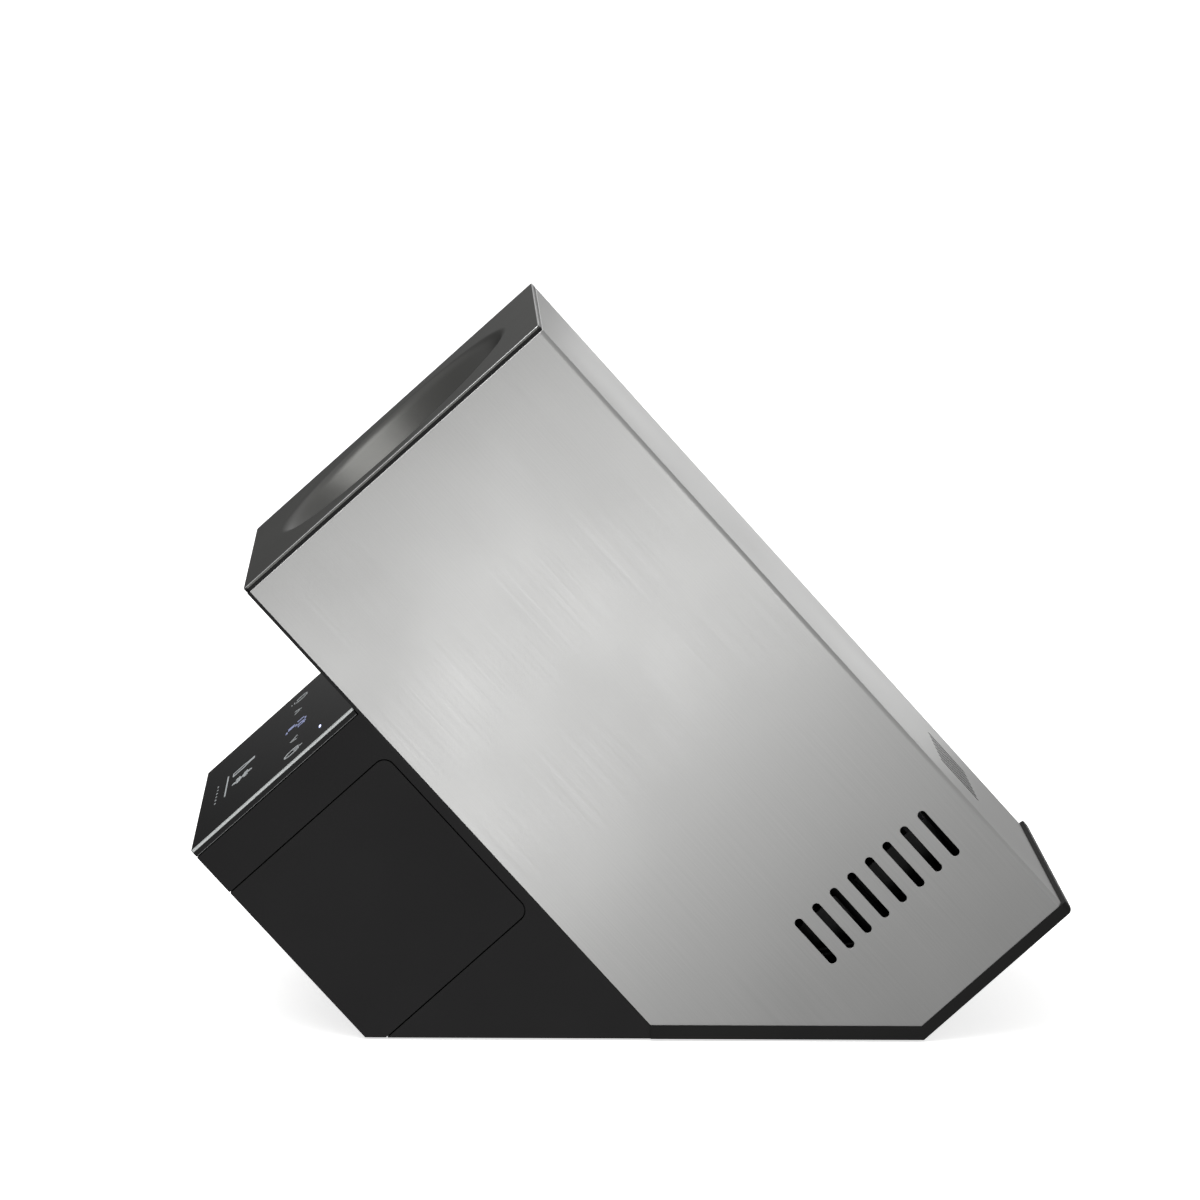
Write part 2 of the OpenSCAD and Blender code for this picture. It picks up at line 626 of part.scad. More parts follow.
module base_housing() color("#212022") difference() {
    union() {
        difference() {
            housing_shell();
            in_body() across(BIG) cover_outline(0);
        }
        seam_lip();
        in_body() for (x = [-1, 1], d = housing_tab_d)
            block(10 + EPS, -belly_edge - tab_t, -belly_edge, d - 6, d + 6, x * (housing_tab_x + EPS));
        for (x = [-1, 1]) translate([x * cover_tab_x, cover_tab_y, feet_proud + 1])
            cylinder(r = 5.5, h = cover_tab_z - feet_proud - 1 - lip_gap);
    }
    in_body() for (x = [-1, 1], d = housing_tab_d)
        stud(screw_hole_r, -belly_edge - tab_t - 1, 0, x * housing_tab_x, d);
    foot_recesses(feet_front_y);
    for (x = [-1, 1]) translate([x * cover_tab_x, cover_tab_y, 0]) {
        cylinder(r = screw_hole_r, h = cover_tab_z + 1);
        cylinder(r = head_r + 0.4, h = cover_head_z + head_h + 0.05);
    }
}

module housing_screws() color("#2b2b2b") in_body() for (x = [-1, 1], d = housing_tab_d)
    translate([x * housing_tab_x, -belly_edge - tab_t, -d]) rotate([90, 0, 0]) {
        cylinder(r = head_r, h = head_h);
        translate([0, 0, -5]) cylinder(r = screw_r, h = 5 + EPS);
    }

cover_tab_x = body_w / 2 - 32;
cover_tab_y = max(front_toe_y + 22, cover_edge_y + 13);
cover_tab_t = 3;
cover_tab_z = feet_proud + floor_t + lip_t + fit;      // underside of the cover's screw tabs
cover_head_z = feet_proud + 0.3;                       // screw heads, sunk into the floor

module access_cover() color("#232224") difference() {
    union() {
        intersection() {
            housing_shell();
            in_body() across(BIG) cover_outline(-seam);
        }
        intersection() {
            for (x = [-1, 1]) translate([x * cover_tab_x - 6, front_toe_y - 15, cover_tab_z])
                cube([12, cover_tab_y - front_toe_y + 21, cover_tab_t]);
            across(body_w) housing_outline(0, 0, 0);
        }
    }
    for (x = [-1, 1]) translate([x * cover_tab_x, cover_tab_y, 0]) cylinder(r = screw_hole_r, h = 20);
}

module cover_screws() color("#2b2b2b") for (x = [-1, 1])
    translate([x * cover_tab_x, cover_tab_y, cover_head_z]) {
    difference() {
        cylinder(r = head_r, h = head_h);
        translate([-1.7, -0.4, -1]) cube([3.4, 0.8, 1.8]);
        translate([-0.4, -1.7, -1]) cube([0.8, 3.4, 1.8]);
    }
    translate([0, 0, head_h - EPS]) cylinder(r = screw_r, h = 6);
}

module foot_recesses(y) for (x = [-1, 1]) translate([x * (body_w / 2 - feet_inset), y, 0])
    cylinder(r = feet_r + fit, h = feet_proud + feet_sunk);

module rubber_feet() color("#111111") for (x = [-1, 1], y = [feet_front_y, feet_rear_y])
    translate([x * (body_w / 2 - feet_inset), y, 0]) cylinder(r = feet_r, h = feet_proud + feet_sunk);

// ---------- touch panel ----------

panel_y0 = -base_depth;
panel_y1 = -belly_edge - fit;

module control_glass() color("#2a2a2b") in_body()
    translate([0, 0, -band_d]) linear_extrude(glass_t) rounded(body_w, panel_y0, panel_y1, 0.6);

module control_frame() color("#121213") in_body() difference() {
    union() {
        translate([0, 0, -band_d - panel_band]) linear_extrude(panel_band)
            rounded(body_w, panel_y0, panel_y1, 0.6);
        block(body_w - 2 * (wall + fit), panel_y0 + wall + fit, -belly_edge - fit,
            band_d + panel_band - EPS, housing_d + 5);
    }
    block(body_w - 2 * (wall + fit + skirt_t), panel_y0 + wall + fit + skirt_t,
        -belly_edge - fit - skirt_t, band_d + panel_band, BIG / 2);
    block(touch_w + 1, touch_y0 - 0.5, touch_y1 + 0.5, 0, BIG);
}

module touch_board() color("#1f5a36") in_body() {
    block(touch_w, touch_y0, touch_y1, touch_d, touch_d + 1.6);
    for (x = [-30, 12, 26]) block(6, touch_y0 + 8, touch_y0 + 13, touch_d + 1.6 - EPS, touch_d + 3, x);
}

module touch_springs() color("#c9a64b") in_body()
    for (x = [-outer_key_x, -inner_key_x, inner_key_x, outer_key_x]) difference() {
        rod(3.5, band_d + 0.1, touch_d, x, -key_y);
        rod(2.6, 0, BIG, x, -key_y);
        for (i = [0 : 2])
            block(5.4, -key_y - 4, -key_y + 1, band_d + 1 + i * 1.6, band_d + 1.8 + i * 1.6, x);
    }

module display_module() color("#dcdcd8") in_body() {
    block(24, -key_y - 7.5, -key_y + 7.5, band_d + 0.1, touch_d);
}

module status_led() color("#dfe6ff") in_body() {
    block(5, -18.5, -16.5, band_d + 0.1, touch_d, outer_key_x - 2);
}

// ---------- electronics and wiring ----------

module main_board() color("#2b6b3f") in_body() difference() {
    block(board_w, board_y - board_t, board_y - 0.05, board_d0, board_d1);
    for (x = [-1, 1], d = [board_d0 + 6, board_d1 - 6])
        stud(screw_hole_r, -BIG / 2, BIG / 2, x * (board_w / 2 - 6), d);
}

module board_screws() color("#8f9193") in_body() for (x = [-1, 1], d = [board_d0 + 6, board_d1 - 6])
    translate([x * (board_w / 2 - 6), board_y - board_t, -d]) rotate([90, 0, 0]) {
        cylinder(r = head_r, h = head_h);
        translate([0, 0, -7]) cylinder(r = screw_r, h = 7 + EPS);
    }

below_board = board_y - board_t - 0.05;

module capacitors() color("#25324a") in_body() {
    for (x = [-26, -14]) stud(5, below_board - 17, below_board, x, board_d0 + 22);
    stud(4, below_board - 12, below_board, -2, board_d0 + 20);
}

module inductor() color("#9c5b32") in_body() difference() {
    stud(10, below_board - 9, below_board, 24, board_d0 + 26);
    stud(4, below_board - 10, below_board + 1, 24, board_d0 + 26);
}

leg_pitch = 2.54;
module power_transistors() color("#1d1d1f") in_body() for (x = [-22, -6, 10]) {
    block(10, below_board - 15, below_board - 4, board_d0 + 50, board_d0 + 54.5, x);
    for (leg = [-1, 0, 1])
        block(0.9, below_board - 4 - EPS, below_board, board_d0 + 52, board_d0 + 52.6, x + leg * leg_pitch);
}

module board_connectors() color("#ece9df") in_body() {
    for (x = [-26, -9, 8, 25]) block(12, below_board - 8, below_board, board_d1 - 8, board_d1 - 1, x);
    block(17, below_board - 6, below_board, board_d0 + 6, board_d0 + 11, -20);
}

connector_y = below_board - 4;
lead_d = board_d1;                                      // rear face of the connectors
fan_end_d = fan_d + fan_t;
function over_foot(d, gap) = y_at(d, foot_top) + gap;   // height above the foot at a depth

// Stretch from a connector up through the port in the belly panel
function from_board(x, port_x, d) = [
    [x, connector_y, -lead_d], [x, connector_y, -lead_d - 4], [port_x, -3, -d], [port_x, 6, -d]
];

fan_lead_x = -9;
module fan_leads() color("#1c1c1c") in_body() for (side = [-1, 1]) {
    x = fan_lead_x + side;
    behind_d = fan_end_d + 1.6;
    wire(concat(from_board(x, x, port_d + 1), [
        [x, over_foot(fan_d - 3, 9), -fan_d + 3], [x, over_foot(behind_d, 3), -behind_d],
        [x, unit_y - 9, -behind_d], [x, unit_y - 9, -fan_end_d - 0.5]
    ]), 1.2);
}

module module_leads() for (side = [-1, 1]) color(side > 0 ? "#b3261e" : "#1c1c1c") in_body() wire(concat(
    from_board(8 + side * 1.4, side * 1.6, port_d - 4), [
        [side * 1.6, 14, -module_d - 1.9], [side * 1.6, axis_y - module_size / 2 - 0.8, -module_d - 1.9]
    ]), 1.5);

// The two inlet leads stay apart whichever way they run
function beside(side, x, y, d) = [x - side * 1.4, y, -d - side * 1.6];
beside_sink = sink_size / 2 + 6;
beside_post = body_w / 2 - post_margin - post_r - 5.5;
module inlet_leads() for (side = [-1, 1]) color(side > 0 ? "#b3261e" : "#1c1c1c") in_body() wire([
    [25 + side * 1.4, connector_y, -lead_d], [25 + side * 1.4, connector_y, -lead_d - 4],
    [9.5, -3, -port_d - side * 1.6], [9.5, 6, -port_d - side * 1.6],
    beside(side, beside_sink, over_foot(port_d + 12, 12), port_d + 12),
    beside(side, beside_sink, unit_y - 18, fan_end_d - 4),
    beside(side, beside_post, unit_y + 8, body_len - 24),
    beside(side, 30, body_h - 26, body_len - 20), [-side * 2.5, body_h - jack_y, -body_len + 18],
    [-side * 2.5, body_h - jack_y, -body_len + 15]
], 1.7);

ribbon_y = touch_y1 - 14;
module ribbon_cable() color("#b9b9b4") in_body() {
    block(14, ribbon_y, ribbon_y + 0.8, touch_d + 1.7, board_d0 + 9, -20);
    block(14, ribbon_y, below_board - 6.1, board_d0 + 8.2, board_d0 + 9, -20);
}

steel_jacket();
mouth_bezel();
front_frame();
belly_panel();
chamber_liner();
bottle_pad();
insulation_lower();
insulation_upper();
cold_block();
peltier_module();
module_gasket();
heat_sink();
sink_screws();
bay_frame();
fan_frame();
fan_bearing();
fan_stator();
fan_rotor();
fan_shaft();
fan_screws();
rear_cap();
rear_cap_screws();
dc_inlet();
base_housing();
housing_screws();
access_cover();
cover_screws();
rubber_feet();
control_frame();
control_glass();
touch_board();
touch_springs();
display_module();
status_led();
main_board();
board_screws();
capacitors();
inductor();
power_transistors();
board_connectors();
temp_sensor();
fan_leads();
module_leads();
inlet_leads();
ribbon_cable();
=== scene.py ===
import math

import bmesh
import bpy
from mathutils import Matrix, Vector


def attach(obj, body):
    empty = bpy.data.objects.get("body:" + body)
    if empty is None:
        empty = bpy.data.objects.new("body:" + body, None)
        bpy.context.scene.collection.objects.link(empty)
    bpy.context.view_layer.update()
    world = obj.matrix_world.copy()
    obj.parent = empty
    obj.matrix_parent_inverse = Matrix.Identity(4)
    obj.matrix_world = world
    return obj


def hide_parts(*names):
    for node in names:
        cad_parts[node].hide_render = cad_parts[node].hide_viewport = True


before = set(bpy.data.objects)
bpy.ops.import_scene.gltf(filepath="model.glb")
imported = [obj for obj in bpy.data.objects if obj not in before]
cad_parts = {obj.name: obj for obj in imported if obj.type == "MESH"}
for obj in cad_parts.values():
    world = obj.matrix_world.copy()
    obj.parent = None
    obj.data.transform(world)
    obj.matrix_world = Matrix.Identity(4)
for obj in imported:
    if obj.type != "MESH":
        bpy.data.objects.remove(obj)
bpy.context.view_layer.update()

# Looks of a thermoelectric cooler for one wine bottle. Row frame in metres: +X across, -Y the front, +Z up.
# Body frame: x across, y up from the jacket's lower edge, z out of the mouth. A depth is -z.
MM = 0.001
LEAN = math.radians(42.5)                      # lean of the bottle axis from the vertical
BODY = Matrix.Translation(Vector((0, -137.6326, 164)) * MM) @ Matrix.Rotation(LEAN, 4, "X")
TO_BODY = BODY.inverted()
BODY_W, BODY_H, BODY_LEN = 140, 140, 281
AXIS_Y, MOUTH_R = 70, 56                       # height of the bottle axis above the lower edge, and the mouth
FACE_Z = 2.2                                   # front face of the mouth bezel
GLASS_D = 55.5                                 # depth of the touch panel's face
BAND_D = 58.5                                  # depth of the lower edge of the band below the glass
MERGE = 2e-6                                   # joins the loose corners of a CAD mesh, in metres
NEAR = 0.05                                    # a point this close to a plane lies on it
CORNER = math.radians(25)                      # an edge that turns by more than this can be rounded
FLAT = math.radians(0.3)                       # neighbouring faces that turn by less are one flat face
SOFT = math.radians(32)                        # faces that turn by less are shaded as one rounding
EDGE = 0.22                                    # rounding of a trimmed metal edge
FOLD = 3                                       # strip beside a fold or an end that holds no slot


# ---------- materials ----------

def paint(code):
    """A colour given as sRGB hex, in linear values."""
    parts = [int(code[i:i + 2], 16) / 255 for i in (1, 3, 5)]
    return [p / 12.92 if p <= 0.04045 else ((p + 0.055) / 1.055) ** 2.4 for p in parts] + [1]


def add(tree, kind, settings, links=None):
    """Adds a node with its fields and socket values, and links its sockets to (node, output) pairs."""
    node = tree.nodes.new(kind)
    for key, value in settings.items():
        if isinstance(key, str) and key in node.bl_rna.properties:
            setattr(node, key, value)
        else:
            node.inputs[key].default_value = value
    for key, (source, output) in (links or {}).items():
        tree.links.new(source.outputs[output], node.inputs[key])
    return node


def finish(name, dark, light, rough, grain, relief, metallic=0.0, ior=1.5, stretch=(1, 1, 1), cloud=40,
           turn=0.0, **sockets):
    """A surface with slow colour clouds, and a fine grain in its gloss and its height.

    Grain, cloud and relief are in mm. Stretch draws the grain out along one axis, and turn tilts it about X.
    """
    material = bpy.data.materials.new(name)
    material.use_nodes = True
    tree = material.node_tree
    tree.nodes.clear()
    place = add(tree, "ShaderNodeTexCoord", {})
    noises = []
    for size, detail, roughness in (([grain * s for s in stretch], 3.0, 0.6), ([cloud] * 3, 2.0, 0.5)):
        scaled = add(tree, "ShaderNodeMapping", {
            "vector_type": "TEXTURE", "Rotation": (turn, 0, 0), "Scale": [s * MM for s in size],
        }, {"Vector": (place, "Object")})
        noises.append(add(tree, "ShaderNodeTexNoise", {"Scale": 1.0, "Detail": detail, "Roughness": roughness},
                          {"Vector": (scaled, "Vector")}))
    fine, broad = noises
    half = add(tree, "ShaderNodeMath", {"operation": "MULTIPLY", 1: 0.5}, {0: (broad, 0)})
    both = add(tree, "ShaderNodeMath", {"operation": "MULTIPLY_ADD", 1: 0.5}, {0: (fine, 0), 2: (half, 0)})
    colour = add(tree, "ShaderNodeMix", {"data_type": "RGBA", 6: paint(dark), 7: paint(light)},
                 {0: (both, 0)})
    gloss = add(tree, "ShaderNodeMapRange", {"From Min": 0.3, "From Max": 0.7, "To Min": rough[0],
                                             "To Max": rough[1]}, {"Value": (both, 0)})
    bump = add(tree, "ShaderNodeBump", {"Strength": 1.0, "Distance": relief * MM}, {"Height": (fine, 0)})
    surface = add(tree, "ShaderNodeBsdfPrincipled", {"Metallic": metallic, "IOR": ior, **sockets}, {
        "Base Color": (colour, 2), "Roughness": (gloss, 0), "Normal": (bump, 0)})
    add(tree, "ShaderNodeOutputMaterial", {}, {"Surface": (surface, 0)})
    return material


def brushed_steel():
    """Stainless sheet, brushed along the bottle axis: light spreads across the grain, hardly along it."""
    material = finish("brushed_stainless_steel", "#9E9E9D", "#C0C0BF", (0.36, 0.44), 0.5, 0.0022, 1.0,
                      stretch=(1, 1, 110), cloud=60, turn=LEAN, Anisotropic=0.87)
    tree = material.node_tree
    surface = next(n for n in tree.nodes if n.type == "BSDF_PRINCIPLED")
    across = add(tree, "ShaderNodeTangent", {"direction_type": "UV_MAP", "uv_map": "grain"})
    tree.links.new(across.outputs[0], surface.inputs["Tangent"])
    return material


def glowing(name, code, strength):
    """A lit part: its own colour on the lens, with a faint mottle, and its light."""
    material = finish(name, code, code, (0.3, 0.4), 0.4, 0.002)
    surface = next(n for n in material.node_tree.nodes if n.type == "BSDF_PRINCIPLED")
    surface.inputs["Emission Color"].default_value = paint(code)
    surface.inputs["Emission Strength"].default_value = strength
    return material


FINISHES = {
    # Stainless sheet, folded, with the grain of its brushing along the bottle axis
    "brushed_steel": brushed_steel(),
    # Anodised aluminium plate: fine satin, warm dark grey
    "bezel_anthracite": finish("anodised_anthracite_aluminium", "#595957", "#646462", (0.36, 0.44), 0.4,
                               0.003, 0.9),
    # Painted highlight: the rims where the punch and the shear broke through the sheet, bare, coloured much
    # lighter than the sheet to stand for the light they catch, and without the brushed grain
    "steel_rim_highlight": finish("steel_rim_painted_highlight", "#E2E2E1", "#F2F2F1", (0.5, 0.58), 0.4, 0.002, 1.0),
    # Painted highlight: a bright line round the bezel and below the panel, coloured light to stand for the
    # light that their chamfered edges catch
    "trim_edge_highlight": finish("trim_edge_painted_highlight", "#C9CACA", "#DADBDB", (0.18, 0.24), 0.5, 0.001, 1.0),
    # Painted shade: the walls of the top slots, coloured near black to stand for the shade inside them, so
    # that they read as openings
    "vent_shade": finish("slot_wall_painted_shade", "#050505", "#0A0A0A", (0.6, 0.7), 0.4, 0.003,
                         **{"Specular IOR Level": 0.1}),
    # ABS mouldings: the tool's spark-eroded texture breaks up the light
    "black_plastic": finish("satin_black_abs", "#131314", "#19191A", (0.38, 0.5), 0.5, 0.006),
    "frame_plastic": finish("deep_black_abs_trim", "#070707", "#0B0B0B", (0.42, 0.52), 0.4, 0.004,
                            **{"Specular IOR Level": 0.25}),
    "cap_plastic": finish("fine_grained_black_abs", "#0A0A09", "#0F0F0E", (0.45, 0.55), 0.6, 0.010,
                          **{"Specular IOR Level": 0.22}),
    "housing_plastic": finish("matt_grained_black_abs", "#0D0C0D", "#121112", (0.52, 0.62), 0.7, 0.014,
                              **{"Specular IOR Level": 0.3}),
    # Glass with a black print on its back
    "panel_glass": finish("back_printed_black_glass", "#0C0C0D", "#101011", (0.05, 0.08), 6, 0.0004, 0, 1.52,
                          cloud=80),
    # Painted highlight: the polished sides of the glass, coloured light grey to stand for the light their
    # edges catch
    "glass_rim_highlight": finish("glass_rim_painted_highlight", "#A9ADAC", "#C4C8C7", (0.12, 0.2), 1.5, 0.001, 0, 1.52),
    # Deep-drawn aluminium, anodised dark
    "liner_aluminium": finish("dark_anodised_aluminium", "#4C4D4F", "#5A5B5D", (0.3, 0.38), 0.6, 0.002, 0.85,
                              stretch=(1, 1, 20), turn=LEAN),
    "black_rubber": finish("moulded_rubber", "#0F0F10", "#161617", (0.7, 0.85), 0.8, 0.02),
    "foam": finish("expanded_foam", "#D9D6CC", "#EFEDE6", (0.8, 0.95), 2.5, 0.2),
    "bare_aluminium": finish("milled_aluminium", "#C2C4C6", "#D2D4D5", (0.25, 0.35), 0.3, 0.003, 1.0,
                             stretch=(1, 30, 1)),
    "sink_aluminium": finish("black_anodised_extrusion", "#18191A", "#222325", (0.4, 0.5), 0.4, 0.003, 0.6,
                             stretch=(20, 1, 1)),
    "ceramic": finish("alumina_ceramic", "#DEDEDA", "#EBEBE7", (0.35, 0.45), 0.5, 0.004),
    "screw_steel": finish("zinc_plated_steel", "#A8AAAD", "#BEC0C2", (0.25, 0.35), 0.6, 0.003, 1.0),
    "black_screw": finish("black_oxide_steel", "#202022", "#2E2E30", (0.35, 0.45), 0.5, 0.004, 0.8),
    "fan_plastic": finish("glass_filled_pbt", "#141415", "#1C1C1D", (0.35, 0.5), 0.8, 0.008),
    "brass": finish("sintered_brass", "#A8853F", "#BE9B52", (0.3, 0.4), 0.3, 0.004, 1.0),
    "copper_winding": finish("enamelled_copper_wire", "#8E4F26", "#B86B37", (0.25, 0.35), 0.3, 0.05, 0.9,
                             stretch=(1, 1, 12)),
    "circuit_board": finish("solder_masked_board", "#1B5732", "#24693E", (0.3, 0.4), 1.2, 0.02),
    "component_dark": finish("epoxy_package", "#191A1C", "#26272A", (0.4, 0.55), 0.4, 0.006),
    "connector_white": finish("nylon_connector", "#E3E0D6", "#F0EDE4", (0.4, 0.5), 0.6, 0.006),
    "display_face": finish("display_diffuser", "#CFCFCB", "#DEDEDA", (0.45, 0.55), 0.5, 0.003),
    "led": glowing("status_light_lens", "#C9D2FF", 2.5),
    "digits": glowing("lit_display_segments", "#8C93B8", 0.5),
    "print": finish("printed_light_ink", "#B4B8BA", "#C4C8CA", (0.5, 0.6), 0.4, 0.002),
    "wire_jacket": finish("pvc_wire_jacket", "#1A1A1B", "#232324", (0.4, 0.5), 0.8, 0.006),
    "live_wire": finish("red_pvc_wire_jacket", "#9E1F19", "#B3261E", (0.4, 0.5), 0.8, 0.006),
    "ribbon": finish("grey_ribbon_jacket", "#A9A9A4", "#BCBCB7", (0.45, 0.55), 1.27, 0.05,
                     stretch=(1, 40, 40)),
}
# Finish that each CAD node keeps where no dressed piece replaces it
NODE_FINISH = {
    "insulation_lower": "foam", "insulation_upper": "foam", "cold_block": "bare_aluminium",
    "peltier_module": "ceramic", "module_gasket": "black_rubber", "heat_sink": "sink_aluminium",
    "sink_screws": "screw_steel", "bay_frame": "black_plastic", "fan_frame": "fan_plastic",
    "fan_bearing": "brass", "fan_stator": "copper_winding", "fan_rotor": "fan_plastic",
    "fan_shaft": "screw_steel", "fan_screws": "black_screw", "rear_cap_screws": "black_screw",
    "dc_inlet": "black_plastic", "housing_screws": "black_screw", "cover_screws": "black_screw",
    "touch_board": "circuit_board", "touch_springs": "brass", "display_module": "display_face",
    "status_led": "led", "main_board": "circuit_board", "board_screws": "screw_steel",
    "capacitors": "component_dark", "inductor": "copper_winding", "power_transistors": "component_dark",
    "board_connectors": "connector_white", "temp_sensor": "wire_jacket", "fan_leads": "wire_jacket",
    "module_leads": "wire_jacket", "inlet_leads": "wire_jacket", "ribbon_cable": "ribbon",
}


# ---------- making pieces ----------

def only(piece):
    """Leaves just this piece selected and active."""
    bpy.ops.object.select_all(action="DESELECT")
    piece.select_set(True)
    bpy.context.view_layer.objects.active = piece


def in_edit(piece):
    """Opens the piece in edit mode on edges, with nothing selected, and gives its bmesh."""
    only(piece)
    bpy.ops.object.mode_set(mode="EDIT")
    bpy.ops.mesh.select_mode(type="EDGE")
    bpy.ops.mesh.select_all(action="DESELECT")
    return bmesh.from_edit_mesh(piece.data)


def body_place(point):
    """A point of the row frame in the body frame, in mm."""
    return (TO_BODY @ point) / MM


def turned(normal):
    """A normal of the row frame in the body frame."""
    return TO_BODY.to_3x3() @ normal


def bevel_where(piece, pick, width, segments=2, finish_index=-1):
    """Rounds the corners that pick accepts by width mm. Pick gets an edge's ends in the body frame."""
    mesh = in_edit(piece)
    for edge in mesh.edges:
        if len(edge.link_faces) == 2 and edge.calc_face_angle(0) > CORNER:
            edge.select_set(pick(*[body_place(v.co) for v in edge.verts]))
    bmesh.update_edit_mesh(piece.data)
    bpy.ops.mesh.bevel(offset=width * MM, segments=segments, profile=0.5, clamp_overlap=True,
                       material=finish_index, affect="EDGES")
    bpy.ops.object.mode_set(mode="OBJECT")


def even_shading(piece):
    """Smooth over roundings only: large flat faces keep their own normal up to their edge."""
    only(piece)
    bpy.ops.object.shade_smooth_by_angle(angle=SOFT)
    modifier = piece.modifiers.new("normals", "WEIGHTED_NORMAL")
    modifier.mode = "FACE_AREA"
    modifier.weight = 100
    modifier.keep_sharp = True
    bpy.ops.object.modifier_apply(modifier=modifier.name)


def dressed(node, name, slot, edge, finishes=None, segments=2):
    """A closed, clean copy of a CAD node with its edges rounded by edge mm. It stands for the node.

    Finishes are those of its faces, and slot alone when none are given.
    """
    piece = bpy.data.objects.new(name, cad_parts[node].data.copy())
    bpy.context.scene.collection.objects.link(piece)
    in_edit(piece)
    bpy.ops.mesh.customdata_custom_splitnormals_clear()
    bpy.ops.mesh.select_all(action="SELECT")
    bpy.ops.mesh.remove_doubles(threshold=MERGE)
    bpy.ops.mesh.dissolve_limited(angle_limit=FLAT)
    bpy.ops.object.mode_set(mode="OBJECT")
    piece.data.materials.clear()
    for key in finishes or [slot]:
        piece.data.materials.append(FINISHES[key])
    if edge:
        modifier = piece.modifiers.new("edges", "BEVEL")
        modifier.width = edge * MM
        modifier.segments = segments
        modifier.limit_method = "ANGLE"
        modifier.angle_limit = math.radians(30)
        modifier.miter_outer = "MITER_ARC"
        bpy.ops.object.modifier_apply(modifier=modifier.name)
    even_shading(piece)
    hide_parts(node)
    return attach(piece, "root")


def refinish(piece, index, pick):
    """Gives the faces that pick accepts another finish. Pick gets centre and normal in the body frame."""
    for face in piece.data.polygons:
        if pick(body_place(face.center), turned(face.normal)):
            face.material_index = index


# ---------- jacket, mouth and chamber ----------

def on_skin(p):
    """Whether a point lies on the outer face of a side or of the top, away from the jacket's own edges."""
    aside = abs(p.x) > BODY_W / 2 - NEAR and 1 < p.y < BODY_H - FOLD
    above = p.y > BODY_H - NEAR and abs(p.x) < BODY_W / 2 - FOLD
    return (aside or above) and 1 < -p.z < BODY_LEN - 1


# The painted highlight sits on the rims of the side slots and on the front edge, coloured lighter than the
# sheet. The other edges stay brushed.
SHEET = 0.9                                    # the jacket's sheet, with a little to spare
jacket = dressed("steel_jacket", "jacket", "brushed_steel", 0,
                 ["brushed_steel", "steel_rim_highlight", "vent_shade"])
bevel_where(jacket, lambda a, b: all(on_skin(p) and p.y < BODY_H - FOLD for p in (a, b)), 0.42, 3, 1)
bevel_where(jacket, lambda a, b: max(abs(a.z), abs(b.z)) < NEAR, 0.3, 3, 1)
bevel_where(jacket, lambda a, b: not any(on_skin(p) for p in (a, b)) and min(-a.z, -b.z) > 0.5, EDGE)
# The walls of the top slots take the painted shade of vent_shade
refinish(jacket, 2, lambda place, normal: place.y > BODY_H - SHEET and abs(place.x) < BODY_W / 2 - FOLD
         and 1 < -place.z < BODY_LEN - 1 and abs(normal.y) < 0.5)
even_shading(jacket)
grain = jacket.data.uv_layers.new(name="grain")
for face in jacket.data.polygons:               # u runs across the grain on every side of the fold
    n = turned(face.normal)
    for corner in face.loop_indices:
        p = body_place(jacket.data.vertices[jacket.data.loops[corner].vertex_index].co)
        grain.data[corner].uv = (p.x if abs(n.y) > abs(n.x) else p.y, -p.z)

bezel = dressed("mouth_bezel", "mouth_bezel_plate", "bezel_anthracite", 0, ["bezel_anthracite", "trim_edge_highlight"])
# The bezel's outer front edge is rounded and takes the painted highlight
bevel_where(bezel, lambda a, b: min(a.z, b.z) > FACE_Z - 0.02 and all(
    math.hypot(p.x, p.y - AXIS_Y) > MOUTH_R + 1 for p in (a, b)), EDGE, 2, 1)
even_shading(bezel)

dressed("front_frame", "front_band", "black_plastic", 0.15, ["frame_plastic"])
dressed("belly_panel", "belly_edge", "black_plastic", 0.15, ["frame_plastic"])
dressed("chamber_liner", "liner", "liner_aluminium", 0.4)
dressed("bottle_pad", "rest_pad", "black_rubber", 0.4)

# ---------- cap, base, cover and feet ----------

dressed("rear_cap", "rear_cap_moulding", "cap_plastic", 0.5, segments=3)
dressed("base_housing", "base_moulding", "housing_plastic", 0.3)
dressed("access_cover", "cover_moulding", "housing_plastic", 0.2)
dressed("rubber_feet", "feet_pads", "black_rubber", 0.3)

# ---------- touch panel ----------

panel_band = dressed("control_frame", "panel_band", "black_plastic", 0, ["frame_plastic", "trim_edge_highlight"])
band_front = min(body_place(v.co).y for v in panel_band.data.vertices)
# The band's lower outer edge is rounded and takes the painted highlight
bevel_where(panel_band, lambda a, b: all(abs(p.z + BAND_D) < NEAR and (
    abs(p.x) > BODY_W / 2 - 1 or p.y < band_front + 1) for p in (a, b)), EDGE, 2, 1)
even_shading(panel_band)
panel = dressed("control_glass", "panel_glass_plate", "panel_glass", 0.14, ["panel_glass", "glass_rim_highlight"])
refinish(panel, 1, lambda place, normal: -0.5 <= normal.z < 0.95)      # the polished sides, not the back: they take the painted highlight


